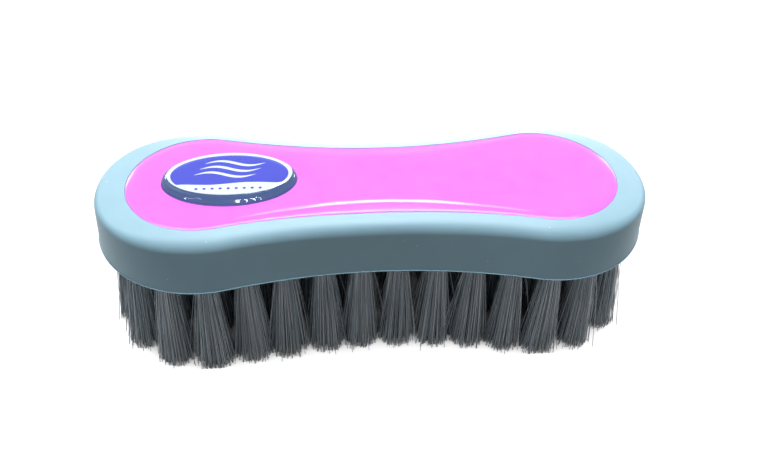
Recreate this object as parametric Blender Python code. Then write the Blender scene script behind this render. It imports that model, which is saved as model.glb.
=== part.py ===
"""Hair grooming brush: a rigid hand brush with a peanut outline, standing on its bristle tips.

A hard block holds the tufts, a soft ring is moulded round it as the grip, a glossy panel closes
the back and a domed oval badge is let into the panel's left lobe. Nothing on it moves.
Metres. +Z up, +X along the brush. The origin lies under its centre, in the plane of the tips.
"""

import math

import bmesh
import bpy
from mathutils import Vector
from mathutils.geometry import delaunay_2d_cdt

# Clearance that every fitted or resting face keeps to its neighbour
FIT = 0.0003

# Outline of the grip's lower edge: two round lobes joined by two hollow waist arcs
BODY_LENGTH = 0.1396
LOBE_WIDTH = 0.0534
WAIST_HOLLOW = 0.0052

# Heights: the bristles below the block, and the body up to the panel's edge
BRISTLE_LENGTH = 0.0270
BODY_HEIGHT = 0.0121
WAIST_DIP = 0.0004

# Cross-section of the soft grip, which changes from the ends to the long sides
END_RIM_SLOPE = math.radians(7)
SIDE_RIM_SLOPE = math.radians(14)
WAIST_RIM_SLOPE = math.radians(30)
END_WALL_LEAN = math.radians(6)
SIDE_WALL_LEAN = math.radians(22)
END_SHOULDER = 0.0014
SIDE_SHOULDER = 0.0040
SIDE_SPREAD = 1.4
LOWER_EDGE_CHAMFER = 0.0005
GRIP_WALL = 0.0011
GRIP_TOP_WALL = 0.0022
GRIP_LIP = 0.0027

# Back panel: its plate, rolled edge and the pegs that fasten it
PANEL_THICKNESS = 0.0027
PANEL_EDGE_RADIUS = 0.0003
PANEL_RISE = 0.0002
LOBE_ROLL = 0.0014
WAIST_ROLL = 0.0036
PEG_DIAMETER = 0.0040
PEG_SPACING = 0.0200

# Oval badge: the printed plate in its pocket and the clear dome on it
BADGE_LENGTH = 0.0330
BADGE_END_MARGIN = 0.0083
BADGE_SIDE_MARGIN = 0.0079
BADGE_PLATE = 0.0005
DOME_EDGE = 0.0005
DOME_RISE = 0.0011

# Tufts: their rows and blind holes
OUTER_ROW_TUFTS = 32
INNER_ROW_TUFTS = 20
HOLE_DIAMETER = 0.0039
HOLE_DEPTH = 0.0050
HOLE_WALL = 0.0006

# Strands: each stands for a pinch of filaments and is cut flat at the tip
STRANDS_ROUND_TUFT = 7
ROOT_THICKNESS = 0.0005
ROOT_MARGIN = 0.0001
TIP_THICKNESS = 0.0013
TIP_GAP = 0.0012
OUTWARD_LEAN = 0.0026

# Facets
LOBE_STEPS = 28
WAIST_STEPS = 10
SHOULDER_STEPS = 5
ROLL_STEPS = 3
HOLE_SIDES = 8
PEG_SIDES = 12
BADGE_SIDES = 44
DOME_STEPS = 4

# Filling of level faces: they are triangulated in millimetres, inside their outer loop
FILL_SCALE = 1000.0
FILL_INSIDE = 1
FILL_MERGE = 0.00001

# Outline: the lobes' centres and the waist arcs, which meet the lobes in a tangent
LOBE_RADIUS = LOBE_WIDTH / 2
HALF_WAIST = LOBE_RADIUS - WAIST_HOLLOW
LOBE_X = BODY_LENGTH / 2 - LOBE_RADIUS
WAIST_RADIUS = (LOBE_X**2 + HALF_WAIST**2 - LOBE_RADIUS**2) / (2 * WAIST_HOLLOW)
WAIST_TURN = math.atan2(LOBE_X, HALF_WAIST + WAIST_RADIUS)

# Heights of the seats, from the tips' plane up
UNDERSIDE = BRISTLE_LENGTH
HOLE_END = UNDERSIDE + HOLE_DEPTH
BLOCK_STEP = HOLE_END + HOLE_WALL
PANEL_EDGE = UNDERSIDE + BODY_HEIGHT
PANEL_SEAT = PANEL_EDGE - PANEL_THICKNESS
BLOCK_TOP = PANEL_SEAT - FIT
PANEL_TOP = PANEL_EDGE + PANEL_RISE

# Insets from the outline: the grip's inner wall, its lip, and the four rows across the waist
GRIP_INSET = (BLOCK_STEP - UNDERSIDE) * math.tan(SIDE_WALL_LEAN) + GRIP_WALL
GRIP_TOP_INSET = (PANEL_SEAT - UNDERSIDE) * math.tan(SIDE_WALL_LEAN) + GRIP_TOP_WALL
RIM_WIDTH = GRIP_TOP_INSET + GRIP_LIP
OUTER_ROW_INSET = GRIP_INSET + FIT + HOLE_WALL + HOLE_DIAMETER / 2
ROW_SPACING = (HALF_WAIST - OUTER_ROW_INSET) * 2 / 3
INNER_ROW_INSET = OUTER_ROW_INSET + ROW_SPACING

# Badge: its width follows the lobe, and its pocket leaves the plate level with the panel
BADGE_WIDTH = 2 * (LOBE_RADIUS - RIM_WIDTH - BADGE_SIDE_MARGIN)
BADGE_X = -(BODY_LENGTH / 2 - RIM_WIDTH - BADGE_END_MARGIN - BADGE_LENGTH / 2)
BADGE_POCKET = BADGE_PLATE + FIT

# Tuft roots fill their holes, and their strands start inside the root's flats
ROOT_RADIUS = HOLE_DIAMETER / 2 - FIT
ROOT_TOP = HOLE_END - FIT
ROOT_RING_RADIUS = ROOT_RADIUS * math.cos(math.pi / HOLE_SIDES) - ROOT_THICKNESS / 2 - ROOT_MARGIN


def clear_scene():
    """Remove every object, so that the script starts from an empty scene."""
    for leftover in list(bpy.data.objects):
        bpy.data.objects.remove(leftover, do_unlink=True)


def make_material(name, colour, roughness, metallic=0.0, alpha=1.0):
    """A Principled material with one colour, given in linear values."""
    material = bpy.data.materials.new(name)
    material.use_nodes = True
    shader = material.node_tree.nodes["Principled BSDF"]
    shader.inputs["Base Color"].default_value = (*colour, 1.0)
    shader.inputs["Roughness"].default_value = roughness
    shader.inputs["Metallic"].default_value = metallic
    shader.inputs["Alpha"].default_value = alpha
    return material


def make_object(name, bm, material, sharp_angle=35):
    """Turn a bmesh into a named object whose faces point out and are shaded smooth."""
    bmesh.ops.recalc_face_normals(bm, faces=bm.faces)
    mesh = bpy.data.meshes.new(name)
    bm.to_mesh(mesh)
    bm.free()
    mesh.shade_smooth()
    mesh.set_sharp_from_angle(angle=math.radians(sharp_angle))
    mesh.materials.append(material)
    piece = bpy.data.objects.new(name, mesh)
    bpy.context.scene.collection.objects.link(piece)
    return piece


def outline_arcs():
    """The outline's four arcs, counter-clockwise: centre, signed radius, first and last normal.

    A point of the outline is centre + (radius - inset) * normal. The waist arcs are hollow, so
    their radius is negative and an inset makes them larger.
    """
    quarter = math.pi / 2
    waist_y = HALF_WAIST + WAIST_RADIUS
    reach = quarter + WAIST_TURN
    return [
        (Vector((LOBE_X, 0, 0)), LOBE_RADIUS, -reach, reach),
        (Vector((0, waist_y, 0)), -WAIST_RADIUS, reach, quarter - WAIST_TURN),
        (Vector((-LOBE_X, 0, 0)), LOBE_RADIUS, math.pi - reach, math.pi + reach),
        (Vector((0, -waist_y, 0)), -WAIST_RADIUS, math.pi + reach, 3 * quarter - WAIST_TURN),
    ]


def outline_stations():
    """Stations round the outline, each as centre, signed radius and the normal's angle."""
    stations = []
    for centre, radius, first, last in outline_arcs():
        steps = LOBE_STEPS if radius > 0 else WAIST_STEPS
        for step in range(steps):
            stations.append((centre, radius, first + (last - first) * step / steps))
    return stations


def outline_point(station, inset, height):
    """The point at one station, moved in from the outline by inset."""
    centre, radius, angle = station
    normal = Vector((math.cos(angle), math.sin(angle), 0))
    return centre + (radius - inset) * normal + Vector((0, 0, height))


def arc_lengths(inset):
    """The lengths of the outline's four arcs at one inset."""
    return [abs((radius - inset) * (last - first)) for _, radius, first, last in outline_arcs()]


def row_places(inset, count):
    """Evenly spaced places along a row at one inset, each with its normal's angle."""
    arcs = outline_arcs()
    lengths = arc_lengths(inset)
    spacing = sum(lengths) / count
    start = lengths[0] / 2 + spacing / 2
    places = []
    for index in range(count):
        along = (start + index * spacing) % sum(lengths)
        for (centre, radius, first, last), length in zip(arcs, lengths):
            if along < length:
                angle = first + (last - first) * along / length
                places.append((outline_point((centre, radius, angle), inset, 0), angle))
                break
            along -= length
    return places


def waist_share(x):
    """1 across the waist's middle, falling smoothly to 0 at the lobes' centres."""
    return math.cos(math.pi / 2 * min(1.0, abs(x) / LOBE_X)) ** 2


def mix(low, high, share):
    """The value a share of the way from low to high."""
    return low + (high - low) * share


def grip_surface(station):
    """The grip's outer section at one station, from the panel's edge down to the lower edge.

    A sloping rim and a leaning wall meet in a rounded shoulder. Along the sides both lean more
    and the shoulder is larger, and the rim is steepest at the waist. Returned as (inset, height).
    """
    share = abs(math.sin(station[2])) ** SIDE_SPREAD
    waist = waist_share(outline_point(station, RIM_WIDTH, 0).x)
    rim_fall = math.tan(mix(END_RIM_SLOPE, mix(SIDE_RIM_SLOPE, WAIST_RIM_SLOPE, waist), share))
    wall_lean = math.tan(mix(END_WALL_LEAN, SIDE_WALL_LEAN, share))
    edge_height = PANEL_EDGE - WAIST_DIP * waist
    wall_height = edge_height - UNDERSIDE
    corner_drop = rim_fall * (RIM_WIDTH - wall_height * wall_lean) / (1 - rim_fall * wall_lean)
    corner = Vector(((wall_height - corner_drop) * wall_lean, edge_height - corner_drop))
    edge = Vector((RIM_WIDTH, edge_height))
    foot = Vector((LOWER_EDGE_CHAMFER * wall_lean, UNDERSIDE + LOWER_EDGE_CHAMFER))
    leg = min(
        mix(END_SHOULDER, SIDE_SHOULDER, share),
        0.9 * (edge - corner).length,
        0.9 * (foot - corner).length,
    )
    start = corner + (edge - corner).normalized() * leg
    end = corner + (foot - corner).normalized() * leg
    section = [edge]
    for step in range(SHOULDER_STEPS + 1):
        along = step / SHOULDER_STEPS
        section.append((1 - along) ** 2 * start + 2 * along * (1 - along) * corner + along**2 * end)
    section.append(foot)
    return section


def loft_ring(sections, stations, closed):
    """Skin one section per station, all with as many points, into a band round the outline."""
    bm = bmesh.new()
    rows = []
    for station, section in zip(stations, sections):
        rows.append([bm.verts.new(outline_point(station, inset, z)) for inset, z in section])
    points = len(rows[0])
    for index, row in enumerate(rows):
        following = rows[(index + 1) % len(rows)]
        for lower in range(points if closed else points - 1):
            upper = (lower + 1) % points
            bm.faces.new((row[lower], row[upper], following[upper], following[lower]))
    return bm, rows


def add_loop(bm, points):
    """Add the vertices of a closed loop."""
    return [bm.verts.new(point) for point in points]


def bridge(bm, first, second):
    """Join two loops of as many vertices with a band of quads."""
    for index in range(len(first)):
        after = (index + 1) % len(first)
        bm.faces.new((first[index], first[after], second[after], second[index]))


def fill_flat(bm, outer, holes):
    """Fill a level face inside the outer loop and outside its convex holes with even triangles."""
    loops = [outer, *holes]
    verts = [vert for loop in loops for vert in loop]
    owner = [number for number, loop in enumerate(loops) for _ in loop]
    edges = []
    for number, loop in enumerate(loops):
        first = owner.index(number)
        edges.extend((first + i, first + (i + 1) % len(loop)) for i in range(len(loop)))
    flat = [vert.co.xy * FILL_SCALE for vert in verts]
    _, _, triangles, sources, _, _ = delaunay_2d_cdt(flat, edges, [], FILL_INSIDE, FILL_MERGE)
    for triangle in triangles:
        corners = [sources[corner][0] for corner in triangle]
        owners = {owner[corner] for corner in corners}
        if len(owners) > 1 or owners == {0}:
            bm.faces.new([verts[corner] for corner in corners])


def add_shaft(bm, holes, points, end_height):
    """A straight hole or peg: its mouth joins the face's holes, then walls and a flat end."""
    mouth = add_loop(bm, points)
    end = add_loop(bm, [(vert.co.x, vert.co.y, end_height) for vert in mouth])
    bridge(bm, mouth, end)
    bm.faces.new(end)
    holes.append(mouth)


def circle_points(centre, radius, sides, height, turn=0.0):
    """The corners of a regular polygon, counter-clockwise from the angle turn."""
    points = []
    for side in range(sides):
        angle = turn + 2 * math.pi * side / sides
        points.append((centre.x + radius * math.cos(angle), centre.y + radius * math.sin(angle), height))
    return points


def oval_points(length, width, height):
    """The badge's oval at one height, centred on its place on the left lobe."""
    points = []
    for side in range(BADGE_SIDES):
        angle = 2 * math.pi * side / BADGE_SIDES
        x = BADGE_X + length / 2 * math.cos(angle)
        points.append((x, width / 2 * math.sin(angle), height))
    return points


def peg_centres():
    """The three pegs stand in line on the brush's long axis, clear of the tufts' holes."""
    return [Vector((index * PEG_SPACING, 0, 0)) for index in (-1, 0, 1)]


def tuft_places():
    """Every tuft as (centre, normal's angle, outward lean), outer row first."""
    places = [(point, angle, OUTWARD_LEAN) for point, angle in row_places(OUTER_ROW_INSET, OUTER_ROW_TUFTS)]
    places += [(point, angle, 0.0) for point, angle in row_places(INNER_ROW_INSET, INNER_ROW_TUFTS)]
    places += [(Vector((side * LOBE_X, 0, 0)), 0.0, 0.0) for side in (-1, 1)]
    return places


def make_tuft_block(places):
    """The hard block: blind tuft holes from below and three peg holes from above."""
    section = [
        (GRIP_INSET + FIT, UNDERSIDE),
        (GRIP_INSET + FIT, BLOCK_STEP),
        (GRIP_TOP_INSET + FIT, BLOCK_TOP),
    ]
    stations = outline_stations()
    bm, rows = loft_ring([section] * len(stations), stations, closed=False)
    tuft_holes = []
    peg_holes = []
    for centre, angle, _ in places:
        turn = angle + math.pi / HOLE_SIDES
        points = circle_points(centre, HOLE_DIAMETER / 2, HOLE_SIDES, UNDERSIDE, turn)
        add_shaft(bm, tuft_holes, points, HOLE_END)
    for centre in peg_centres():
        points = circle_points(centre, PEG_DIAMETER / 2 + FIT, PEG_SIDES, BLOCK_TOP)
        add_shaft(bm, peg_holes, points, BLOCK_STEP)
    fill_flat(bm, [row[0] for row in rows], tuft_holes)
    fill_flat(bm, [row[-1] for row in rows], peg_holes)
    return make_object("tuft_block", bm, make_material("block_plastic", (0.030, 0.036, 0.045), 0.55))


def make_soft_grip():
    """The soft grip: a closed ring with a lip over the block's top edge and round the panel."""
    stations = outline_stations()
    sections = []
    for station in stations:
        section = list(grip_surface(station))
        section.append((LOWER_EDGE_CHAMFER, UNDERSIDE))
        section.append((GRIP_INSET, UNDERSIDE))
        section.append((GRIP_INSET, BLOCK_STEP))
        section.append((GRIP_TOP_INSET, PANEL_SEAT))
        section.append((RIM_WIDTH, PANEL_SEAT))
        sections.append(section)
    bm, _ = loft_ring(sections, stations, closed=True)
    return make_object("soft_grip", bm, make_material("grip_elastomer", (0.180, 0.260, 0.300), 0.62))


def make_back_panel():
    """The glossy back panel: a plate with a rolled edge, the badge's pocket and three pegs."""
    stations = outline_stations()
    edge_inset = RIM_WIDTH + FIT
    sections = []
    for station in stations:
        waist = waist_share(outline_point(station, edge_inset, 0).x)
        height = PANEL_EDGE - WAIST_DIP * waist
        rise = PANEL_TOP - height
        roll_width = mix(LOBE_ROLL, WAIST_ROLL, waist)
        section = [(edge_inset, PANEL_SEAT), (edge_inset, height - PANEL_EDGE_RADIUS)]
        for step in range(ROLL_STEPS + 1):
            along = step / ROLL_STEPS
            inset = edge_inset + PANEL_EDGE_RADIUS + roll_width * along
            section.append((inset, height + rise * math.sin(math.pi / 2 * along)))
        sections.append(section)
    bm, rows = loft_ring(sections, stations, closed=False)
    pegs = []
    pocket = []
    for centre in peg_centres():
        points = circle_points(centre, PEG_DIAMETER / 2, PEG_SIDES, PANEL_SEAT)
        add_shaft(bm, pegs, points, BLOCK_STEP + FIT)
    rim = oval_points(BADGE_LENGTH + 2 * FIT, BADGE_WIDTH + 2 * FIT, PANEL_TOP)
    add_shaft(bm, pocket, rim, PANEL_TOP - BADGE_POCKET)
    fill_flat(bm, [row[0] for row in rows], pegs)
    fill_flat(bm, [row[-1] for row in rows], pocket)
    return make_object("back_panel", bm, make_material("panel_gloss_pink", (1.0, 0.262, 0.982), 0.16))


def make_badge_plate():
    """The printed oval plate, sunk in its pocket so that its face is level with the panel."""
    bm = bmesh.new()
    lower = add_loop(bm, oval_points(BADGE_LENGTH, BADGE_WIDTH, PANEL_TOP - BADGE_PLATE))
    upper = add_loop(bm, oval_points(BADGE_LENGTH, BADGE_WIDTH, PANEL_TOP))
    bridge(bm, lower, upper)
    bm.faces.new(lower)
    bm.faces.new(upper)
    return make_object("badge_plate", bm, make_material("badge_print", (0.060, 0.060, 0.480), 0.30))


def make_badge_dome():
    """The clear dome poured over the plate: a short upright edge and a low rounded crown."""
    bm = bmesh.new()
    base = PANEL_TOP + FIT
    loops = [add_loop(bm, oval_points(BADGE_LENGTH, BADGE_WIDTH, base))]
    for step in range(DOME_STEPS):
        along = math.pi / 2 * step / DOME_STEPS
        height = base + DOME_EDGE + DOME_RISE * math.sin(along)
        share = math.cos(along)
        loops.append(add_loop(bm, oval_points(BADGE_LENGTH * share, BADGE_WIDTH * share, height)))
    for lower, upper in zip(loops, loops[1:]):
        bridge(bm, lower, upper)
    bm.faces.new(loops[0])
    bm.faces.new(loops[-1])
    clear = make_material("dome_clear_resin", (0.800, 0.850, 0.950), 0.05, alpha=0.35)
    return make_object("badge_dome", bm, clear)


def add_strand(bm, roots, root_centre, tip_centre, turn):
    """A straight three-sided strand from the tuft's root face to its flat-cut tip."""
    root = add_loop(bm, circle_points(root_centre, ROOT_THICKNESS / 2, 3, UNDERSIDE, turn))
    tip = add_loop(bm, circle_points(tip_centre, TIP_THICKNESS / 2, 3, 0.0, turn))
    bridge(bm, root, tip)
    bm.faces.new(tip)
    roots.append(root)


def tip_ring_radius():
    """How far a tuft splays: until its tips leave a set gap to the next tuft's.

    The outer row's tips lean out, so they stand closest in the hollow of the waist.
    """
    pitch = sum(arc_lengths(OUTER_ROW_INSET)) / OUTER_ROW_TUFTS
    row_radius = WAIST_RADIUS + OUTER_ROW_INSET
    pitch_at_tips = pitch * (row_radius - OUTWARD_LEAN) / row_radius
    return (min(pitch_at_tips, ROW_SPACING) - TIP_THICKNESS - TIP_GAP) / 2


def make_tuft(name, centre, angle, lean, material):
    """One tuft: its root, which fills the hole, and the strands that splay from it."""
    bm = bmesh.new()
    turn = angle + math.pi / HOLE_SIDES
    lower = add_loop(bm, circle_points(centre, ROOT_RADIUS, HOLE_SIDES, UNDERSIDE, turn))
    upper = add_loop(bm, circle_points(centre, ROOT_RADIUS, HOLE_SIDES, ROOT_TOP, turn))
    bridge(bm, lower, upper)
    bm.faces.new(upper)
    roots = []
    outward = Vector((math.cos(angle), math.sin(angle), 0))
    tip_middle = centre + outward * lean
    splay = tip_ring_radius()
    add_strand(bm, roots, centre, tip_middle, angle)
    for index in range(STRANDS_ROUND_TUFT):
        round_angle = angle + 2 * math.pi * index / STRANDS_ROUND_TUFT
        radial = Vector((math.cos(round_angle), math.sin(round_angle), 0))
        root_centre = centre + radial * ROOT_RING_RADIUS
        tip_centre = tip_middle + radial * splay
        add_strand(bm, roots, root_centre, tip_centre, round_angle)
    fill_flat(bm, lower, roots)
    return make_object(name, bm, material)


def build_brush():
    """Make every piece of the brush."""
    clear_scene()
    places = tuft_places()
    make_tuft_block(places)
    make_soft_grip()
    make_back_panel()
    make_badge_plate()
    make_badge_dome()
    filament = make_material("nylon_filament", (0.055, 0.066, 0.080), 0.45)
    for number, (centre, angle, lean) in enumerate(places, start=1):
        make_tuft(f"tuft_{number:02d}", centre, angle, lean, filament)


build_brush()
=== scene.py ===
import math
import random

import bmesh
import bpy
from mathutils import Matrix, Vector
from mathutils.geometry import delaunay_2d_cdt


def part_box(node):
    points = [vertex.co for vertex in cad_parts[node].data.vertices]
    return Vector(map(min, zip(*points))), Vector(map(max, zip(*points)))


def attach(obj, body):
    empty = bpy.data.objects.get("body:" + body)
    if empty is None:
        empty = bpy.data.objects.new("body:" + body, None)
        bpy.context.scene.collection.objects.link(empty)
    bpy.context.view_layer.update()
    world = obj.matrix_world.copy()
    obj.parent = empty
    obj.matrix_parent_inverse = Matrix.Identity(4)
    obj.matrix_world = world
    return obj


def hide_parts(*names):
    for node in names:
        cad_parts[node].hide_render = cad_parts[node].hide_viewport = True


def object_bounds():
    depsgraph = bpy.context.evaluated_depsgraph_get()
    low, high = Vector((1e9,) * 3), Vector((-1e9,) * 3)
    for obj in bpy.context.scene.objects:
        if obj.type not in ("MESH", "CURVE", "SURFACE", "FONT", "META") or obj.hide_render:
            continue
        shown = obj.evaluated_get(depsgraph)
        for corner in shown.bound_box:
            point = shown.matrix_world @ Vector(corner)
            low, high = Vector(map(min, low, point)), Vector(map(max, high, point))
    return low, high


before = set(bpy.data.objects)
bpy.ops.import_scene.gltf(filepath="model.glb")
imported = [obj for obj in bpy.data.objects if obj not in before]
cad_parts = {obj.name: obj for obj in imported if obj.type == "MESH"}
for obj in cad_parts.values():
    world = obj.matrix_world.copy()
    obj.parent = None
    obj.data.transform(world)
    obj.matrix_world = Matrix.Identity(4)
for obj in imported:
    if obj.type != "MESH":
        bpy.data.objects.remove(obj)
cad_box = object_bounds()
bpy.context.scene.view_settings.view_transform = "Standard"


# Tuft block: the hard core that carries everything, one moulding in charcoal polypropylene.
# Its side is drafted for the mould, its tuft holes are blind with a broken edge, and three
# peg holes open on top. The moulding leaves it matt, with a fine spark-eroded grain.
BODY_LENGTH = 0.1396
LOBE_WIDTH = 0.0534
WAIST_HOLLOW = 0.0052
LOBE_STEPS = 120
WAIST_STEPS = 44
TIGHT_FIT = 0.00005

BLOCK_INSET = 0.0035
BLOCK_TOP_INSET = 0.0062
BLOCK_SHOULDER = 0.0056
HOLE_DIAMETER = 0.0039
HOLE_DEPTH = 0.0050
HOLE_EDGE = 0.00015
HOLE_SIDES = 24
PEG_HOLE_DIAMETER = 0.0046
PEG_HOLE_DEPTH = 0.0035
PEG_SPACING = 0.0200
PEG_SIDES = 24
NODE_LEVEL = 0.00002
FILL_TOLERANCE_MM = 0.00001

LOBE_RADIUS = LOBE_WIDTH / 2
HALF_WAIST = LOBE_RADIUS - WAIST_HOLLOW
LOBE_X = BODY_LENGTH / 2 - LOBE_RADIUS
WAIST_RADIUS = (LOBE_X**2 + HALF_WAIST**2 - LOBE_RADIUS**2) / (2 * WAIST_HOLLOW)
WAIST_TURN = math.atan2(LOBE_X, HALF_WAIST + WAIST_RADIUS)
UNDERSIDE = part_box("tuft_block")[0].z
BLOCK_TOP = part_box("tuft_block")[1].z
TUFTS = sorted(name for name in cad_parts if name.startswith("tuft_") and name[-1].isdigit())


def outline_stations():
    """Stations round the peanut outline: an arc's centre, its signed radius, a normal's angle."""
    quarter = math.pi / 2
    waist_y = HALF_WAIST + WAIST_RADIUS
    reach = quarter + WAIST_TURN
    arcs = [
        (Vector((LOBE_X, 0, 0)), LOBE_RADIUS, -reach, reach),
        (Vector((0, waist_y, 0)), -WAIST_RADIUS, reach, quarter - WAIST_TURN),
        (Vector((-LOBE_X, 0, 0)), LOBE_RADIUS, math.pi - reach, math.pi + reach),
        (Vector((0, -waist_y, 0)), -WAIST_RADIUS, math.pi + reach, 3 * quarter - WAIST_TURN),
    ]
    stations = []
    for centre, radius, first, last in arcs:
        steps = LOBE_STEPS if radius > 0 else WAIST_STEPS
        for step in range(steps):
            stations.append((centre, radius, first + (last - first) * step / steps))
    return stations


STATIONS = outline_stations()


def outline_point(station, inset, height):
    """The point at one station, moved in from the outline by inset."""
    centre, radius, angle = station
    normal = Vector((math.cos(angle), math.sin(angle), 0))
    return centre + (radius - inset) * normal + Vector((0, 0, height))


def skin(sections, closed):
    """A band round the outline from one section per station, each a list of (inset, height)."""
    bm = bmesh.new()
    rows = []
    for station, section in zip(STATIONS, sections):
        rows.append([bm.verts.new(outline_point(station, inset, z)) for inset, z in section])
    points = len(rows[0])
    for index, row in enumerate(rows):
        following = rows[(index + 1) % len(rows)]
        for lower in range(points if closed else points - 1):
            upper = (lower + 1) % points
            bm.faces.new((row[lower], row[upper], following[upper], following[lower]))
    return bm, rows


def add_loops(bm, loops):
    """Join closed loops of points, each to the next, and return the first and last loop."""
    rows = [[bm.verts.new(point) for point in loop] for loop in loops]
    for row, after in zip(rows, rows[1:]):
        for index in range(len(row)):
            following = (index + 1) % len(row)
            bm.faces.new((row[index], row[following], after[following], after[index]))
    return rows[0], rows[-1]


def fill_level(bm, outer, holes):
    """Fill a level face inside the outer loop and outside its holes with even triangles."""
    loops = [outer, *holes]
    verts = [vert for loop in loops for vert in loop]
    owner = [number for number, loop in enumerate(loops) for _ in loop]
    edges = []
    for number, loop in enumerate(loops):
        first = owner.index(number)
        edges.extend((first + i, first + (i + 1) % len(loop)) for i in range(len(loop)))
    millimetres = [vert.co.xy * 1000 for vert in verts]
    filled = delaunay_2d_cdt(millimetres, edges, [], 1, FILL_TOLERANCE_MM)
    triangles, sources = filled[2], filled[3]
    for triangle in triangles:
        corners = [sources[corner][0] for corner in triangle]
        owners = {owner[corner] for corner in corners}
        if len(owners) > 1 or owners == {0}:
            bm.faces.new([verts[corner] for corner in corners])


def circle(centre, radius, sides, height):
    """The points of a level circle, counter-clockwise."""
    points = []
    for side in range(sides):
        turn = 2 * math.pi * side / sides
        points.append((centre.x + radius * math.cos(turn), centre.y + radius * math.sin(turn), height))
    return points


def make_piece(name, bm, material, sharp_angle=40):
    """Turn a bmesh into a smooth-shaded piece that rides on the brush."""
    bmesh.ops.recalc_face_normals(bm, faces=bm.faces)
    mesh = bpy.data.meshes.new(name)
    bm.to_mesh(mesh)
    bm.free()
    mesh.shade_smooth()
    mesh.set_sharp_from_angle(angle=math.radians(sharp_angle))
    mesh.materials.append(material)
    piece = bpy.data.objects.new(name, mesh)
    bpy.context.scene.collection.objects.link(piece)
    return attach(piece, "root")


def node_centre(node, height):
    """The middle of a node's corners at one height, on the level z = 0."""
    points = [vertex.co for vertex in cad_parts[node].data.vertices]
    corners = [point for point in points if abs(point.z - height) < NODE_LEVEL]
    middle = sum(corners, Vector()) / len(corners)
    return Vector((middle.x, middle.y, 0))


def linear(code):
    """A linear colour from an sRGB hex code."""
    parts = [int(code[i : i + 2], 16) / 255 for i in (1, 3, 5)]
    return (*[c / 12.92 if c <= 0.04045 else ((c + 0.055) / 1.055) ** 2.4 for c in parts], 1)


def new_material(name):
    """An empty node material with its output."""
    material = bpy.data.materials.new(name)
    material.use_nodes = True
    material.node_tree.nodes.clear()
    return material


def add_node(material, kind, inputs=None, **settings):
    """Add a node with its settings; an input is a value, or another node's socket to link."""
    node = material.node_tree.nodes.new(kind)
    for name, value in settings.items():
        setattr(node, name, value)
    for name, value in (inputs or {}).items():
        if isinstance(value, bpy.types.NodeSocket):
            material.node_tree.links.new(value, node.inputs[name])
        else:
            node.inputs[name].default_value = value
    return node


def colour_ramp(material, factor, stops):
    """A ramp node from (position, hex code) stops, driven by a socket."""
    node = add_node(material, "ShaderNodeValToRGB", {"Fac": factor})
    ramp = node.color_ramp
    while len(ramp.elements) < len(stops):
        ramp.elements.new(0.5)
    for element, (position, code) in zip(ramp.elements, stops):
        element.position = position
        element.color = linear(code)
    return node.outputs["Color"]


# Moulded polypropylene: slightly waxy, so its gloss is low and even. The eroded grain of the
# mould is 0.05 mm on the real piece and drawn at 0.25 mm, or it wouldn't show.
block_polypropylene = new_material("moulded_polypropylene_charcoal")
place = add_node(block_polypropylene, "ShaderNodeTexCoord").outputs["Object"]
grain = add_node(block_polypropylene, "ShaderNodeTexNoise", {"Vector": place, "Scale": 4000.0})
cloud = add_node(block_polypropylene, "ShaderNodeTexNoise", {"Vector": place, "Scale": 220.0})
tone = colour_ramp(block_polypropylene, cloud.outputs["Fac"], [(0.3, "#2B3138"), (0.7, "#343B43")])
bump = add_node(
    block_polypropylene,
    "ShaderNodeBump",
    {"Strength": 0.25, "Distance": 0.00003, "Height": grain.outputs["Fac"]},
)
shader = add_node(
    block_polypropylene,
    "ShaderNodeBsdfPrincipled",
    {"Base Color": tone, "Roughness": 0.55, "IOR": 1.49, "Normal": bump.outputs["Normal"]},
)
add_node(block_polypropylene, "ShaderNodeOutputMaterial", {"Surface": shader.outputs["BSDF"]})

block_section = [
    (BLOCK_INSET + HOLE_EDGE, UNDERSIDE),
    (BLOCK_INSET, UNDERSIDE + HOLE_EDGE),
    (BLOCK_INSET, UNDERSIDE + BLOCK_SHOULDER),
    (BLOCK_TOP_INSET, BLOCK_TOP),
]
bm, rows = skin([block_section] * len(STATIONS), closed=False)
tuft_mouths = []
for tuft in TUFTS:
    centre = node_centre(tuft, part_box(tuft)[1].z)
    radius = HOLE_DIAMETER / 2
    hole = [
        circle(centre, radius + HOLE_EDGE, HOLE_SIDES, UNDERSIDE),
        circle(centre, radius, HOLE_SIDES, UNDERSIDE + HOLE_EDGE),
        circle(centre, radius, HOLE_SIDES, UNDERSIDE + HOLE_DEPTH),
    ]
    mouth, end = add_loops(bm, hole)
    bm.faces.new(end)
    tuft_mouths.append(mouth)
peg_mouths = []
for number in (-1, 0, 1):
    centre = Vector((number * PEG_SPACING, 0, 0))
    radius = PEG_HOLE_DIAMETER / 2
    hole = [circle(centre, radius, PEG_SIDES, BLOCK_TOP - depth) for depth in (0, PEG_HOLE_DEPTH)]
    mouth, end = add_loops(bm, hole)
    bm.faces.new(end)
    peg_mouths.append(mouth)
fill_level(bm, [row[0] for row in rows], tuft_mouths)
fill_level(bm, [row[-1] for row in rows], peg_mouths)
block = make_piece("tuft_block_moulding", bm, block_polypropylene)
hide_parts("tuft_block")


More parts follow.
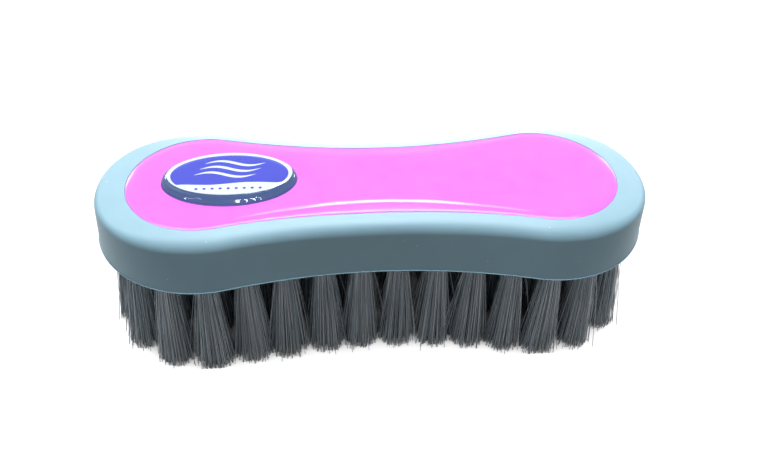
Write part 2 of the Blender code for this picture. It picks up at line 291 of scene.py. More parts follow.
# Soft grip: a ring of thermoplastic elastomer moulded over the block's edge. Its rim slopes away
# from the panel and rolls over a soft shoulder into a wall that leans in towards the top, and a
# small lip runs round its lower edge. The grained mould leaves it silky matt.
END_RIM_SLOPE = math.radians(7)
SIDE_RIM_SLOPE = math.radians(10)
WAIST_RIM_SLOPE = math.radians(11)
END_WALL_LEAN = math.radians(6)
SIDE_WALL_LEAN = math.radians(20)
WAIST_WALL_LEAN = math.radians(18.5)
END_SHOULDER = 0.0014
SIDE_SHOULDER = 0.0038
SIDE_SHOULDER_FALL = 0.0022
WAIST_SHOULDER = 0.0025
WAIST_SHOULDER_FALL = 0.0022
SIDE_SPREAD = 4.0
SHOULDER_STEPS = 20
WALL_STEPS = 4
EDGE_STEPS = 4
WAIST_DIP = 0.0004
RIM_EDGE = 0.0391
RIM_EDGE_RADIUS = 0.00008
LIP_HEIGHT = 0.0002
LIP_LEDGE = 0.00026
LIP_INSET = 0.00006
LIP_RADIUS = 0.0001
GRIP_INSET = 0.00336
GRIP_TOP_INSET = 0.0060
RIM_WIDTH = 0.0085
WAIST_RIM_LESS = 0.0003
PANEL_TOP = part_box("back_panel")[1].z
PANEL_SEAT = PANEL_TOP - 0.0029


def waist_share(x):
    """1 across the waist's middle, falling smoothly to 0 at the lobes' centres."""
    return math.cos(math.pi / 2 * min(1.0, abs(x) / LOBE_X)) ** 2


def mix(low, high, share):
    """The value a share of the way from low to high."""
    return low + (high - low) * share


def curve_corner(start, corner, end, steps):
    """Points of a smooth curve that leaves start and reaches end along the corner's two sides."""
    points = []
    for step in range(steps + 1):
        t = step / steps
        points.append((1 - t) ** 2 * start + 2 * t * (1 - t) * corner + t**2 * end)
    return points


def rim_edge(station):
    """Where the rim meets the panel at one station: its waist share, inset and height."""
    waist = waist_share(outline_point(station, RIM_WIDTH, 0).x)
    return waist, RIM_WIDTH - WAIST_RIM_LESS * waist, RIM_EDGE - WAIST_DIP * waist


def grip_section(station):
    """The grip's whole section: rim, shoulder, wall, lower edge, then its seats on the block."""
    side = abs(math.sin(station[2])) ** SIDE_SPREAD
    waist, edge_inset, edge_height = rim_edge(station)
    rim_fall = math.tan(mix(END_RIM_SLOPE, mix(SIDE_RIM_SLOPE, WAIST_RIM_SLOPE, waist), side))
    lean = math.tan(mix(END_WALL_LEAN, mix(SIDE_WALL_LEAN, WAIST_WALL_LEAN, waist), side))
    wall_height = edge_height - UNDERSIDE
    drop = rim_fall * (edge_inset - wall_height * lean) / (1 - rim_fall * lean)
    corner = Vector(((wall_height - drop) * lean, edge_height - drop))
    edge = Vector((edge_inset, edge_height))
    foot = Vector((LIP_LEDGE, UNDERSIDE + LIP_HEIGHT))
    rim_way = (edge - corner).normalized()
    wall_way = (foot - corner).normalized()
    leg = mix(END_SHOULDER, mix(SIDE_SHOULDER, WAIST_SHOULDER, waist), side)
    fall = mix(END_SHOULDER, mix(SIDE_SHOULDER_FALL, WAIST_SHOULDER_FALL, waist), side)
    edge_low = edge + Vector((0, -RIM_EDGE_RADIUS))
    section = curve_corner(edge_low, edge, edge - rim_way * RIM_EDGE_RADIUS, EDGE_STEPS)
    wall_top = corner + wall_way * fall
    section += curve_corner(corner + rim_way * leg, corner, wall_top, SHOULDER_STEPS)
    section += [wall_top.lerp(foot, step / WALL_STEPS) for step in range(1, WALL_STEPS + 1)]
    lip = Vector((LIP_INSET, UNDERSIDE + LIP_HEIGHT))
    below = Vector((LIP_INSET, UNDERSIDE))
    section += curve_corner(lip, below, below + Vector((LIP_RADIUS, 0)), EDGE_STEPS)
    section.append(Vector((GRIP_INSET, UNDERSIDE)))
    section.append(Vector((GRIP_INSET, UNDERSIDE + BLOCK_SHOULDER)))
    section.append(Vector((GRIP_TOP_INSET, PANEL_SEAT)))
    section.append(Vector((edge_inset, PANEL_SEAT)))
    return section


# Moulded elastomer: blue-grey all through, so wear doesn't change its colour. Light scatters in
# its matt grain, which is 0.1 mm on the real piece and drawn at 0.3 mm. A few specks of lint,
# up to 0.35 mm across, cling to it.
grip_elastomer = new_material("moulded_elastomer_soft_touch")
place = add_node(grip_elastomer, "ShaderNodeTexCoord").outputs["Object"]
grain = add_node(
    grip_elastomer, "ShaderNodeTexNoise", {"Vector": place, "Scale": 3300.0, "Detail": 3.0}
)
cloud = add_node(
    grip_elastomer, "ShaderNodeTexNoise", {"Vector": place, "Scale": 130.0, "Detail": 4.0}
)
tone = colour_ramp(grip_elastomer, cloud.outputs["Fac"], [(0.30, "#89ADBC"), (0.70, "#8EB2C1")])
lint = add_node(grip_elastomer, "ShaderNodeTexVoronoi", {"Vector": place, "Scale": 260.0})
speck = add_node(
    grip_elastomer,
    "ShaderNodeMath",
    {0: lint.outputs["Distance"], 1: 0.045},
    operation="LESS_THAN",
)
spotted = add_node(
    grip_elastomer,
    "ShaderNodeMix",
    {"Factor": speck.outputs["Value"], "A": tone, "B": linear("#BDD2DC")},
    data_type="RGBA",
)
matt = add_node(
    grip_elastomer,
    "ShaderNodeMapRange",
    {"Value": cloud.outputs["Fac"], "To Min": 0.44, "To Max": 0.52},
)
bump = add_node(
    grip_elastomer,
    "ShaderNodeBump",
    {"Strength": 0.3, "Distance": 0.00002, "Height": grain.outputs["Fac"]},
)
shader = add_node(
    grip_elastomer,
    "ShaderNodeBsdfPrincipled",
    {
        "Base Color": spotted.outputs["Result"],
        "Roughness": matt.outputs["Result"],
        "IOR": 1.5,
        "Specular IOR Level": 0.5,
        "Normal": bump.outputs["Normal"],
    },
)
add_node(grip_elastomer, "ShaderNodeOutputMaterial", {"Surface": shader.outputs["BSDF"]})

bm, _ = skin([grip_section(station) for station in STATIONS], closed=True)
grip = make_piece("soft_grip_overmould", bm, grip_elastomer, sharp_angle=50)
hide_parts("soft_grip")


# Tufts: nylon filament, folded over a wire anchor and driven into the holes. Each tuft fans out
# from its hole, and the brush was trimmed level, so all tips end near one plane. A few filaments
# stray, but none leaves the brush's own box.
OUTER_ROW_TUFTS = 32
FILAMENTS = 320
FILAMENT_DIAMETER = 0.0002
FILAMENT_SIDES = 5
TIP_TAPER = 0.8
FLARE_STEPS = (0.0, 0.06, 0.15, 0.3, 0.6, 1.0)
LEAST_FLARE = 0.6
MOST_FLARE = 1.1
TIP_SPREAD = 0.0047
INNER_LEAN = 0.8
TIP_JITTER = 0.0004
TUFT_JITTER = 0.0003
TRIM_JITTER = 0.0002
STRAY_SHARE = 0.08
STRAY_REACH = 0.0032
END_MARGIN = 0.0012
FOLD_BACK = 0.3
GOLDEN_ANGLE = math.pi * (3 - math.sqrt(5))
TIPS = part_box(TUFTS[0])[0].z
TIP_SHADE = 0.8
TIP_SHADE_HEIGHT = 0.0025

# Extruded nylon: satin, so its lit side is clear grey and its shaded side nearly black, and each
# filament has its own tone. The colour turns darker and warmer over the last 2.5 mm to the cut tips.
nylon_filament = new_material("extruded_nylon_filament")
island = add_node(nylon_filament, "ShaderNodeNewGeometry").outputs["Random Per Island"]
tone = colour_ramp(
    nylon_filament,
    island,
    [(0.0, "#5A6E7C"), (0.4, "#9CB0BC"), (0.8, "#D4E5EE"), (1.0, "#FFFFFF")],
)
place = add_node(nylon_filament, "ShaderNodeTexCoord").outputs["Object"]
height = add_node(nylon_filament, "ShaderNodeSeparateXYZ", {"Vector": place}).outputs["Z"]
tip_share = add_node(
    nylon_filament,
    "ShaderNodeMapRange",
    {
        "Value": height,
        "From Min": TIPS,
        "From Max": TIPS + TIP_SHADE_HEIGHT,
        "To Min": TIP_SHADE,
        "To Max": 0.0,
    },
)
tipped = add_node(
    nylon_filament,
    "ShaderNodeMix",
    {"Factor": tip_share.outputs["Result"], "A": tone, "B": linear("#3A3431")},
    data_type="RGBA",
)
shader = add_node(
    nylon_filament,
    "ShaderNodeBsdfPrincipled",
    {
        "Base Color": tipped.outputs["Result"],
        "Roughness": 0.40,
        "IOR": 1.53,
        "Specular IOR Level": 1.0,
    },
)
add_node(nylon_filament, "ShaderNodeOutputMaterial", {"Surface": shader.outputs["BSDF"]})


def fold_back(reach, limit):
    """A reach past the limit on either side is brought back inside by part of its excess."""
    excess = abs(reach) - limit
    return reach if excess <= 0 else math.copysign(limit - FOLD_BACK * excess, reach)


def filament_path(rng, number, root, tip):
    """One filament's centreline, from the hole's end down to its cut tip."""
    share = math.sqrt((number + 0.5) / FILAMENTS)
    angle = number * GOLDEN_ANGLE
    way = Vector((math.cos(angle), math.sin(angle), 0))
    start = root + way * share * (HOLE_DIAMETER - FILAMENT_DIAMETER) / 2
    stray = STRAY_REACH * rng.random() if rng.random() < STRAY_SHARE else 0.0
    reach = TIP_SPREAD * share + stray
    jitter = Vector((rng.gauss(0, TIP_JITTER), rng.gauss(0, TIP_JITTER), 0))
    end = tip + way * reach + jitter
    end.x = fold_back(end.x, cad_box[1].x - END_MARGIN)
    end.y = fold_back(end.y, cad_box[1].y - FILAMENT_DIAMETER)
    flare = rng.uniform(LEAST_FLARE, MOST_FLARE)
    low = TIPS + abs(rng.gauss(0, TRIM_JITTER)) + stray / 2
    path = [start + Vector((0, 0, UNDERSIDE + HOLE_DEPTH - FILAMENT_DIAMETER))]
    for step in FLARE_STEPS:
        across = start.lerp(end, step**flare)
        path.append(across + Vector((0, 0, mix(UNDERSIDE, low, step))))
    return path


def tuft_mesh(name, rng, root, tip):
    """All filaments of one tuft as slim closed tubes."""
    verts = []
    faces = []
    for number in range(FILAMENTS):
        path = filament_path(rng, number, root, tip)
        turn = rng.uniform(0, 2 * math.pi)
        for level, centre in enumerate(path):
            radius = FILAMENT_DIAMETER / 2 * mix(1, TIP_TAPER, level / (len(path) - 1))
            first = len(verts)
            verts.extend(circle(centre, radius, FILAMENT_SIDES, centre.z))
            if level:
                for side in range(FILAMENT_SIDES):
                    after = (side + 1) % FILAMENT_SIDES
                    upper = first - FILAMENT_SIDES
                    faces.append((upper + side, first + side, first + after, upper + after))
            else:
                faces.append(tuple(range(first, first + FILAMENT_SIDES)))
        faces.append(tuple(reversed(range(len(verts) - FILAMENT_SIDES, len(verts)))))
    mesh = bpy.data.meshes.new(name)
    mesh.from_pydata(verts, [], faces)
    mesh.shade_smooth()
    mesh.set_sharp_from_angle(angle=math.radians(80))
    mesh.materials.append(nylon_filament)
    return mesh


tuft_bundles = []
for tuft in TUFTS:
    rng = random.Random(tuft)
    root = node_centre(tuft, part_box(tuft)[1].z)
    tip = node_centre(tuft, TIPS)
    if tuft in TUFTS[OUTER_ROW_TUFTS:]:
        tip += (tip - root) * INNER_LEAN
    tip += Vector((rng.gauss(0, TUFT_JITTER), rng.gauss(0, TUFT_JITTER), 0))
    mesh = tuft_mesh(f"filament_{tuft}", rng, root, tip)
    bundle = bpy.data.objects.new(f"filament_{tuft}", mesh)
    bpy.context.scene.collection.objects.link(bundle)
    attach(bundle, "root")
    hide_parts(tuft)
    tuft_bundles.append(bundle)


# Back panel: the glossy cover, one moulding in pink ABS that drops into the grip on three pegs.
# Its edge is rounded and flush with the grip's rim, and a soft crease runs round it, widest at
# the waist, where the level middle turns down. The polished mould leaves it glossy, faintly wavy.
PANEL_EDGE_DROP = 0.00015
PANEL_EDGE_ROLL = 0.0010
LOBE_ROLL = 0.0018
WAIST_ROLL = 0.0035
CREASE_RADIUS = 0.0011
CREASE_STEPS = 8
LEVEL_BORDER = 0.0004
PANEL_EDGE_STEPS = 8
PEG_DIAMETER = 0.0040
PEG_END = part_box("back_panel")[0].z
badge_low, badge_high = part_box("badge_plate")
BADGE_X = (badge_low.x + badge_high.x) / 2
BADGE_LENGTH = badge_high.x - badge_low.x
BADGE_WIDTH = badge_high.y - badge_low.y
BADGE_SIDES = 160
POCKET_DEPTH = 0.0008
POCKET_EDGE = 0.0003


def oval(length, width, height, sides=BADGE_SIDES):
    """The points of a level oval on the badge's place, counter-clockwise."""
    turns = [2 * math.pi * side / sides for side in range(sides)]
    return [(BADGE_X + length / 2 * math.cos(a), width / 2 * math.sin(a), height) for a in turns]


def panel_section(station):
    """The panel's section from its seat up the edge, over the crease and onto the level middle."""
    waist, rim_inset, edge_height = rim_edge(station)
    edge_inset = rim_inset + TIGHT_FIT
    roll = mix(LOBE_ROLL, WAIST_ROLL, waist)
    edge = Vector((edge_inset, edge_height))
    crease = Vector((edge_inset + roll, PANEL_TOP))
    slope = (crease - edge).normalized()
    rise = min(CREASE_RADIUS, (roll - PANEL_EDGE_ROLL) / 2)
    section = [Vector((edge_inset, PANEL_SEAT))]
    drop = edge - Vector((0, PANEL_EDGE_DROP))
    section += curve_corner(drop, edge, edge + slope * PANEL_EDGE_ROLL, PANEL_EDGE_STEPS)
    section += curve_corner(crease - slope * rise, crease, crease + Vector((rise, 0)), CREASE_STEPS)
    section.append(crease + Vector((rise + LEVEL_BORDER, 0)))
    return section


# Polished ABS: opaque colour under a hard clear gloss. Flow in the mould leaves waves 6 mm long
# and a few microns high, which soften its reflections; handling leaves a light haze.
panel_abs = new_material("moulded_abs_gloss_pink")
place = add_node(panel_abs, "ShaderNodeTexCoord").outputs["Object"]
wave = add_node(panel_abs, "ShaderNodeTexNoise", {"Vector": place, "Scale": 160.0, "Detail": 1.0})
haze = add_node(panel_abs, "ShaderNodeTexNoise", {"Vector": place, "Scale": 420.0, "Detail": 5.0})
tone = colour_ramp(panel_abs, wave.outputs["Fac"], [(0.3, "#F06DEC"), (0.7, "#F272EE")])
gloss = add_node(
    panel_abs, "ShaderNodeMapRange", {"Value": haze.outputs["Fac"], "To Min": 0.08, "To Max": 0.12}
)
bump = add_node(
    panel_abs,
    "ShaderNodeBump",
    {"Strength": 0.2, "Distance": 0.00001, "Height": wave.outputs["Fac"]},
)
shader = add_node(
    panel_abs,
    "ShaderNodeBsdfPrincipled",
    {
        "Base Color": tone,
        "Roughness": gloss.outputs["Result"],
        "IOR": 1.54,
        "Normal": bump.outputs["Normal"],
    },
)
add_node(panel_abs, "ShaderNodeOutputMaterial", {"Surface": shader.outputs["BSDF"]})

bm, rows = skin([panel_section(station) for station in STATIONS], closed=False)
pegs = []
for number in (-1, 0, 1):
    centre = Vector((number * PEG_SPACING, 0, 0))
    peg = [circle(centre, PEG_DIAMETER / 2, PEG_SIDES, height) for height in (PANEL_SEAT, PEG_END)]
    mouth, end = add_loops(bm, peg)
    bm.faces.new(end)
    pegs.append(mouth)
pocket_rim = [
    oval(BADGE_LENGTH + 2 * POCKET_EDGE, BADGE_WIDTH + 2 * POCKET_EDGE, PANEL_TOP),
    oval(BADGE_LENGTH + 2 * TIGHT_FIT, BADGE_WIDTH + 2 * TIGHT_FIT, PANEL_TOP),
    oval(BADGE_LENGTH + 2 * TIGHT_FIT, BADGE_WIDTH + 2 * TIGHT_FIT, PANEL_TOP - POCKET_DEPTH),
]
pocket, floor_loop = add_loops(bm, pocket_rim)
bm.faces.new(floor_loop)
fill_level(bm, [row[0] for row in rows], pegs)
fill_level(bm, [row[-1] for row in rows], [pocket])
panel = make_piece("back_panel_moulding", bm, panel_abs, sharp_angle=50)
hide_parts("back_panel")


# Badge plate: an oval of aluminium sheet, stamped out, printed navy and glued in the panel's
# pocket. Only its margin shows, as a dark line that is wider on the near side: the print leaves a
# wide navy margin there as painted shade, and the dome's rim bends the light over it.
PLATE_EDGE = 0.0001


# Screen ink: flat and even, with the faint mottle of the mesh that it was pulled through. The
# mesh is 0.1 mm on the real piece and drawn at 0.4 mm.
def screen_ink(name, dark, light):
    """A screen ink between two tones."""
    ink = new_material(name)
    place = add_node(ink, "ShaderNodeTexCoord").outputs["Object"]
    mottle = add_node(ink, "ShaderNodeTexNoise", {"Vector": place, "Scale": 2500.0, "Detail": 2.0})
    tone = colour_ramp(ink, mottle.outputs["Fac"], [(0.3, dark), (0.7, light)])
    shader = add_node(
        ink,
        "ShaderNodeBsdfPrincipled",
        {"Base Color": tone, "Roughness": 0.5, "IOR": 1.5, "Specular IOR Level": 0.1},
    )
    add_node(ink, "ShaderNodeOutputMaterial", {"Surface": shader.outputs["BSDF"]})
    return ink


bm = bmesh.new()
plate_loops = [
    oval(BADGE_LENGTH - 2 * PLATE_EDGE, BADGE_WIDTH - 2 * PLATE_EDGE, PANEL_TOP),
    oval(BADGE_LENGTH, BADGE_WIDTH, PANEL_TOP - PLATE_EDGE),
    oval(BADGE_LENGTH, BADGE_WIDTH, badge_low.z),
]
first, last = add_loops(bm, plate_loops)
bm.faces.new(first)
bm.faces.new(last)
plate = make_piece("badge_plate_printed", bm, screen_ink("screen_ink_navy", "#29406A", "#2E4673"))
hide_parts("badge_plate")


# Badge print: a white oval, then a blue one on it that leaves a border, a plain drawing of three
# flowing hairs in white, and a white band with a row of blue dots. The print sits towards the far
# edge and its border is thin on the near side, so a wide navy margin stays there: painted shade for
# the dark near rim of the dome. Each ink is pulled through a mesh and lies 0.02 mm thick.
INK_THICKNESS = 0.00002
PRINT_END_MARGIN = 0.0015
NEAR_PAINTED_SHADE_MARGIN = 0.0033
FAR_MARGIN = 0.0004
BORDER_WIDTH = 0.00075
HAIR_LENGTH = 0.0150
HAIR_WIDTH = 0.0010
HAIR_SPACING = 0.0023
HAIR_WAVE = 0.0010
HAIR_LEVEL = 0.0033
HAIR_END = 0.05
HAIR_TAPER = 0.8
HAIR_STEPS = 40
BAND_LEVEL = -0.0026
BAND_WAVE = 0.0005
DOTS = 9
DOT_DIAMETER = 0.0008
DOT_SIDES = 16
DOT_SPACING = 0.0019
DOT_LEVEL = -0.0045


def ink_layer(name, ink, level, outline):
    """A thin layer of ink with this outline, on the layers under it."""
    bm = bmesh.new()
    low = PANEL_TOP + level * INK_THICKNESS
    ends = add_loops(bm, [[(x, y, z) for x, y in outline] for z in (low, low + INK_THICKNESS)])
    for end in ends:
        fill_level(bm, end, [])
    layer = make_piece(name, bm, ink)


def print_oval(inset_ends, inset_near, inset_far):
    """An oval on the plate, moved in from the plate's edge by its own amount on each side."""
    points = oval(BADGE_LENGTH - 2 * inset_ends, BADGE_WIDTH - inset_near - inset_far, 0)
    return [(x, y + (inset_near - inset_far) / 2) for x, y, _ in points]


blue_ink = screen_ink("screen_ink_blue", "#3B42BA", "#4048C2")
white_ink = screen_ink("screen_ink_white", "#D9E2E8", "#E3EAEE")
# Painted shade: the wide navy near margin and the thin near border darken the dome's near rim.
ink_layer("badge_ink_border", white_ink, 0, print_oval(PRINT_END_MARGIN, NEAR_PAINTED_SHADE_MARGIN, FAR_MARGIN))
field = print_oval(
    PRINT_END_MARGIN + BORDER_WIDTH, NEAR_PAINTED_SHADE_MARGIN + BORDER_WIDTH / 4, FAR_MARGIN + BORDER_WIDTH
)
ink_layer("badge_ink_field", blue_ink, 1, field)
for number in (-1, 0, 1):
    upper = []
    lower = []
    for step in range(HAIR_STEPS + 1):
        t = step / HAIR_STEPS
        x = BADGE_X + HAIR_LENGTH * (t - 0.5) + number * HAIR_SPACING / 2
        y = HAIR_LEVEL + number * HAIR_SPACING + HAIR_WAVE * math.sin(2 * math.pi * t)
        half = HAIR_WIDTH / 2 * mix(HAIR_END, 1, math.sin(math.pi * t) ** HAIR_TAPER)
        upper.append((x, y + half))
        lower.append((x, y - half))
    ink_layer(f"badge_ink_hair_{number + 2}", white_ink, 2, lower + upper[::-1])
band = [point for point in field if point[1] < BAND_LEVEL]
left, right = band[0][0], band[-1][0]
for step in range(1, HAIR_STEPS):
    t = step / HAIR_STEPS
    swell = math.sin(2 * math.pi * t) * math.sin(math.pi * t)
    band.append((mix(right, left, t), BAND_LEVEL + BAND_WAVE * swell))
ink_layer("badge_ink_band", white_ink, 2, band)
for number in range(DOTS):
    centre = Vector((BADGE_X + (number - (DOTS - 1) / 2) * DOT_SPACING, DOT_LEVEL))
    dot = [(x, y) for x, y, _ in circle(centre, DOT_DIAMETER / 2, DOT_SIDES, 0)]
    ink_layer(f"badge_ink_dot_{number + 1}", blue_ink, 3, dot)


# Badge dome: clear resin poured on the printed plate, which surface tension stops at the plate's
# edge. It cures with a steep rounded rim and a low crown, and bends the light at that rim.
DOME_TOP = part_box("badge_dome")[1].z
DOME_LAP = 0.00004
DOME_FULLNESS = 16.0
DOME_RIM_TURN = math.radians(72)
DOME_RIM_STEPS = 24
DOME_CROWN_STEPS = 16

# Clear polyurethane, cast: hard, colourless and mirror-smooth, with a faint ripple. Light on its
# way to the print goes straight through, so that the dome throws no dark shadow on it.
dome_resin = new_material("cast_clear_resin")
path = add_node(dome_resin, "ShaderNodeLightPath")
passes = add_node(
    dome_resin,
    "ShaderNodeMath",
    {0: path.outputs["Is Shadow Ray"], 1: path.outputs["Is Diffuse Ray"]},
    operation="MAXIMUM",
)
clear = add_node(dome_resin, "ShaderNodeBsdfTransparent")
place = add_node(dome_resin, "ShaderNodeTexCoord").outputs["Object"]
cloud = add_node(
    dome_resin, "ShaderNodeTexNoise", {"Vector": place, "Scale": 300.0, "Detail": 2.0}
)
ripple = add_node(
    dome_resin,
    "ShaderNodeBump",
    {"Strength": 0.1, "Distance": 0.00001, "Height": cloud.outputs["Fac"]},
)
glass = add_node(
    dome_resin,
    "ShaderNodeBsdfPrincipled",
    {
        "Base Color": linear("#F4F8FF"),
        "Roughness": 0.02,
        "IOR": 1.52,
        "Transmission Weight": 1.0,
        "Normal": ripple.outputs["Normal"],
    },
)
blend = add_node(
    dome_resin,
    "ShaderNodeMixShader",
    {0: passes.outputs["Value"], 1: glass.outputs["BSDF"], 2: clear.outputs["BSDF"]},
)
add_node(dome_resin, "ShaderNodeOutputMaterial", {"Surface": blend.outputs["Shader"]})


def dome_loop(share):
    """The dome's level loop at a share of its width, as high as its rounded profile is there."""
    height = PANEL_TOP + (DOME_TOP - PANEL_TOP) * math.sqrt(1 - share**DOME_FULLNESS)
    length = (BADGE_LENGTH - 2 * TIGHT_FIT) * share
    width = (BADGE_WIDTH - 2 * TIGHT_FIT) * share
    return oval(length, width, height)


rim_turns = [DOME_RIM_TURN * step / DOME_RIM_STEPS for step in range(DOME_RIM_STEPS + 1)]
shares = [math.cos(turn) ** (2 / DOME_FULLNESS) for turn in rim_turns]
inner = shares[-1]
shares += [inner * (1 - step / DOME_CROWN_STEPS) for step in range(1, DOME_CROWN_STEPS)]
base = [(x, y, z - DOME_LAP) for x, y, z in dome_loop(1.0)]
bm = bmesh.new()
first, last = add_loops(bm, [base] + [dome_loop(share) for share in shares])
bm.faces.new(first)
crown = bm.verts.new((BADGE_X, 0, DOME_TOP))
for index in range(len(last)):
    bm.faces.new((last[index], last[(index + 1) % len(last)], crown))
dome = make_piece("badge_dome_resin", bm, dome_resin)
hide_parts("badge_dome")


# Studio floor: a wide pale sheet that the brush stands on. Seen straight, in gloss or through
# glass it is white, with a painted shadow: its white glow dims where the brush hangs close over
# it, darkest right beneath it. For bounced light it is a mid grey, so that the walls keep their shade.
FLOOR_HALF = 2.0

floor_paper = new_material("pale_studio_paper")
path = add_node(floor_paper, "ShaderNodeLightPath")
seen = add_node(
    floor_paper,
    "ShaderNodeMath",
    {0: path.outputs["Is Camera Ray"], 1: path.outputs["Is Glossy Ray"]},
    operation="MAXIMUM",
)
seen = add_node(
    floor_paper,
    "ShaderNodeMath",
    {0: seen.outputs["Value"], 1: path.outputs["Is Transmission Ray"]},
    operation="MAXIMUM",
)
# Painted shadow: ambient occlusion dims the floor's glow under and around the brush.
open_sky = add_node(floor_paper, "ShaderNodeAmbientOcclusion", {"Distance": 0.04}, samples=8)
painted_shadow_glow = add_node(
    floor_paper,
    "ShaderNodeMapRange",
    {"Value": open_sky.outputs["AO"], "From Min": 0.08, "From Max": 0.5},
)
paper = add_node(floor_paper, "ShaderNodeBsdfDiffuse", {"Color": linear("#8A8A8A")})
white = add_node(floor_paper, "ShaderNodeEmission", {"Strength": painted_shadow_glow.outputs["Result"]})
lit = add_node(
    floor_paper, "ShaderNodeAddShader", {0: paper.outputs["BSDF"], 1: white.outputs["Emission"]}
)
grey = add_node(floor_paper, "ShaderNodeBsdfDiffuse", {"Color": linear("#7F706B")})
floor_mix = add_node(
    floor_paper,
    "ShaderNodeMixShader",
    {0: seen.outputs["Value"], 1: grey.outputs["BSDF"], 2: lit.outputs["Shader"]},
)
add_node(floor_paper, "ShaderNodeOutputMaterial", {"Surface": floor_mix.outputs["Shader"]})

corners = [(-1, -1), (1, -1), (1, 1), (-1, 1)]
mesh = bpy.data.meshes.new("studio_floor")
mesh.from_pydata([(x * FLOOR_HALF, y * FLOOR_HALF, 0) for x, y in corners], [], [(0, 1, 2, 3)])
mesh.materials.append(floor_paper)
floor = bpy.data.objects.new("studio_floor", mesh)
bpy.context.scene.collection.objects.link(floor)


# Studio light: soft boxes above, behind and at the ends, and a dim even surround. No box shows in
# the picture itself. Some light only the gloss, some only the rest, and some only one piece, so
# that each line of light keeps to its own place and no mirror image whitens the panel.
LAMP_TINT = (0.94, 1.0, 1.03)
HORIZON_TINT = (1.0, 0.90, 0.85)
KEY_PLACE = (73.5, 0, 1.2)
KEY_SIZE = (0.9, 0.42)
GLINT_ELEVATION = 28
GLINTS = ((178, 0.10), (168, 0.06), (159, 0.06), (151, 0.05), (235, 0.05))
GLINT_HEIGHT = 1.3
GLINT_RADIANCE = 20.0


def add_softbox(name, elevation, azimuth, distance, width, height, radiance):
    """A soft box aimed at the brush, in degrees and metres, where azimuth 0 is behind it (+Y).

    Radiance 1 is the white of the picture.
    """
    data = bpy.data.lights.new(name, "AREA")
    data.shape = "RECTANGLE"
    data.size = width
    data.size_y = height
    data.energy = math.pi * width * height * radiance
    data.color = LAMP_TINT
    lamp = bpy.data.objects.new(name, data)
    up, round_ = math.radians(elevation), math.radians(azimuth)
    way = Vector((math.sin(round_) * math.cos(up), math.cos(round_) * math.cos(up), math.sin(up)))
    lamp.location = Vector((0, 0, UNDERSIDE)) + way * distance
    lamp.rotation_mode = "QUATERNION"
    lamp.rotation_quaternion = way.to_track_quat("Z", "Y")
    lamp.visible_camera = False
    bpy.context.scene.collection.objects.link(lamp)
    return lamp


def receiver_group(name, pieces):
    """The pieces that a linked soft box lights."""
    group = bpy.data.collections.new(name)
    for piece in pieces:
        group.objects.link(piece)
    return group


def gloss_only(lamp, receivers=None):
    """Let a soft box light only the gloss, of all pieces or of its receivers."""
    lamp.visible_diffuse = False
    if receivers is not None:
        lamp.light_linking.receiver_collection = receivers


# The key lights every piece from above, but its wide mirror image is kept off the panel and the
# dome. The panel's edge shows the image of a narrower box instead.
key = add_softbox("softbox_key", *KEY_PLACE, *KEY_SIZE, 15.7)
key.visible_glossy = False
matt_pieces = receiver_group("matt_receivers", (block, grip, *tuft_bundles))
panel_alone = receiver_group("gloss_receivers", (panel,))
gloss_only(add_softbox("softbox_key_matt", *KEY_PLACE, *KEY_SIZE, 15.5), matt_pieces)
gloss_only(add_softbox("softbox_edge_line", 66, 0, 1.2, 1.20, 0.19, 11.0), panel_alone)

# Two strips behind draw the line of light along the panel's crease, and two corner boxes the pale
# edge of its ends. Boxes low behind, at the sides, at the ends and in front lift rim and walls.
add_softbox("softbox_back_strip", 48, 8.5, 1.20, 0.25, 0.17, 9.0)
add_softbox("softbox_back_strip_wide", 48, 8.5, 1.25, 0.50, 0.17, 5.0)
add_softbox("softbox_low_back", 25.5, 0, 1.3, 1.7, 0.36, 0.6)
add_softbox("softbox_side_left", 45, -45, 1.2, 0.30, 0.60, 0.9)
gloss_only(add_softbox("softbox_corner_left", 22, -34, 1.3, 0.27, 0.27, 8.0))
gloss_only(add_softbox("softbox_corner_right", 16, 41, 1.3, 0.27, 0.27, 8.0))
end_left = add_softbox("softbox_end_left", 24, -90, 1.2, 0.40, 0.80, 2.9)
end_left.visible_glossy = False
end_right = add_softbox("softbox_end_right", 20, 90, 1.2, 0.40, 0.60, 2.5)
end_right.visible_glossy = False
add_softbox("softbox_front_fill", 42, 175, 1.2, 0.50, 0.50, 0.6)

# Two boxes give only the grip its sheen, one on the far rim and one on the near rim, and a row
# of thin boxes gives only the dome its broken strokes of light.
horizon = add_softbox("softbox_horizon", 11, 7, 1.4, 1.0, 0.40, 13.0)
horizon.data.color = HORIZON_TINT
grip_alone = receiver_group("rim_receivers", (grip,))
gloss_only(horizon, grip_alone)
gloss_only(add_softbox("softbox_rim", 60, 4, 1.2, 0.60, 0.17, 8.0), grip_alone)
dome_alone = receiver_group("glint_receivers", (dome,))
for azimuth, width in GLINTS:
    name = f"softbox_glint_{azimuth}"
    glint = add_softbox(name, GLINT_ELEVATION, azimuth, 1.2, width, GLINT_HEIGHT, GLINT_RADIANCE)
    gloss_only(glint, dome_alone)

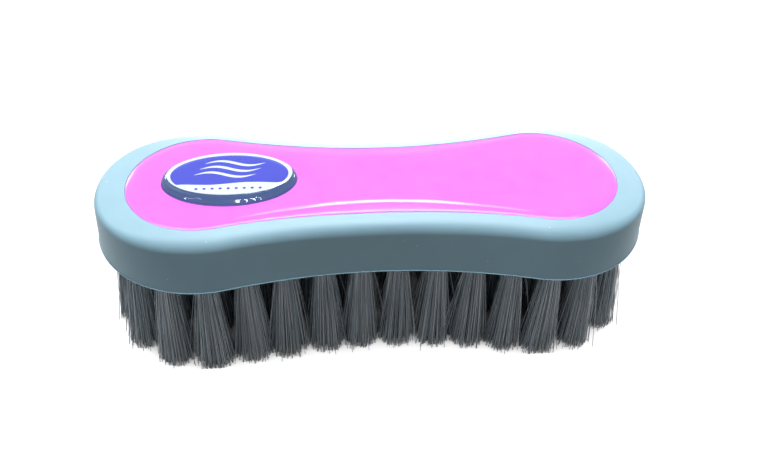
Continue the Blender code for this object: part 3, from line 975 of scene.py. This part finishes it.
world = bpy.data.worlds.new("studio_surround")
world.use_nodes = True
world.node_tree.nodes.clear()
path = add_node(world, "ShaderNodeLightPath")
seen = add_node(
    world,
    "ShaderNodeMath",
    {0: path.outputs["Is Camera Ray"], 1: path.outputs["Is Glossy Ray"]},
    operation="MAXIMUM",
)
seen = add_node(
    world,
    "ShaderNodeMath",
    {0: seen.outputs["Value"], 1: path.outputs["Is Transmission Ray"]},
    operation="MAXIMUM",
)
level = add_node(
    world, "ShaderNodeMapRange", {"Value": seen.outputs["Value"], "To Min": 0.032, "To Max": 1.0}
)
surround = add_node(
    world, "ShaderNodeBackground", {"Color": (1, 1, 1, 1), "Strength": level.outputs["Result"]}
)
add_node(world, "ShaderNodeOutputWorld", {"Surface": surround.outputs["Background"]})
bpy.context.scene.world = world


# Camera: the photograph's view, from the front and above at 41.5 degrees, a little to one side
# and turned slightly on its axis. The lens is short and close, so the near edge looks larger.
LENS = 34.54
YAW = 0.11815
PITCH = 0.72516
ROLL = -0.04739
AIM_X = 0.001057
AIM_UP = -0.004761
DISTANCE = 0.18984
SENSOR_WIDTH = 36.0
CLIP_START = 0.01

lens_data = bpy.data.cameras.new("photo_camera")
lens_data.lens = LENS
lens_data.sensor_width = SENSOR_WIDTH
lens_data.clip_start = CLIP_START
camera = bpy.data.objects.new("photo_camera", lens_data)
bpy.context.scene.collection.objects.link(camera)


def unturned(vector):
    """A vector of the camera's turned frame, in the brush's own frame."""
    x = vector.x * math.cos(YAW) + vector.y * math.sin(YAW)
    y = -vector.x * math.sin(YAW) + vector.y * math.cos(YAW)
    return Vector((x, y, vector.z))


forward = Vector((0, math.cos(PITCH), -math.sin(PITCH)))
level_up = Vector((0, math.sin(PITCH), math.cos(PITCH)))
level_right = Vector((1, 0, 0))
place = level_right * AIM_X + level_up * AIM_UP - forward * DISTANCE
right = unturned(level_right * math.cos(ROLL) - level_up * math.sin(ROLL))
up = unturned(level_right * math.sin(ROLL) + level_up * math.cos(ROLL))
back = -unturned(forward)
turn = [[right[i], up[i], back[i]] for i in range(3)]
camera.location = unturned(place) + Vector((0, 0, UNDERSIDE))
camera.rotation_mode = "QUATERNION"
camera.rotation_quaternion = Matrix(turn).to_quaternion()
bpy.context.scene.camera = camera
